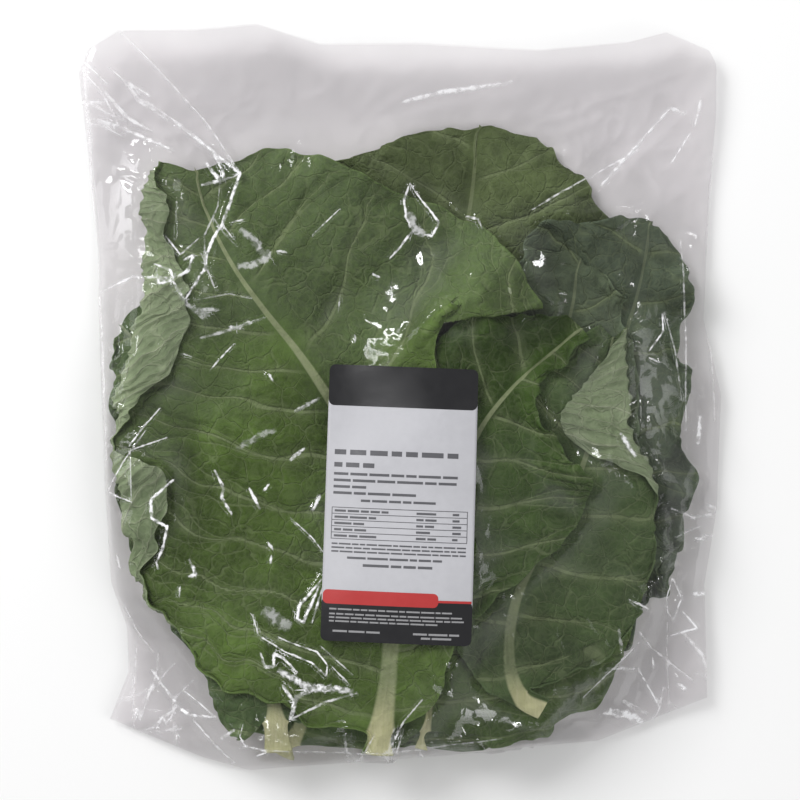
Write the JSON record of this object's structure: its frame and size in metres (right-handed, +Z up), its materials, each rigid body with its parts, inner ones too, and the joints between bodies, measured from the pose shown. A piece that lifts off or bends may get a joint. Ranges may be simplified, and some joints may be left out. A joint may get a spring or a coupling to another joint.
{
  "type": "kale bunch",
  "caption": "Bunch of large flat kale leaves lying in a clear film bag, with a plain label on the front film.",
  "frame": {"origin": "on the table, under the middle of the bag", "axes": "+Y towards the mouth of the bag and the leaf tips, +Z up through the front film, the bag lying on its back"},
  "size_m": [0.3233, 0.3752, 0.0505],
  "materials": {
    "leaf": "satin",
    "film": "clear, crumpled",
    "label": "satin"
  },
  "bodies": {
    "root": {"bag": "film", "label": "label", "leaf_top_back": "leaf", "leaf_left_back": "leaf", "leaf_right_frilled": "leaf", "leaf_bottom": "leaf", "leaf_upper_right": "leaf", "leaf_lower_left": "leaf", "leaf_lower_right": "leaf", "leaf_right_folded": "leaf", "leaf_front_right": "leaf", "leaf_front": "leaf"}
  },
  "joints": []
}
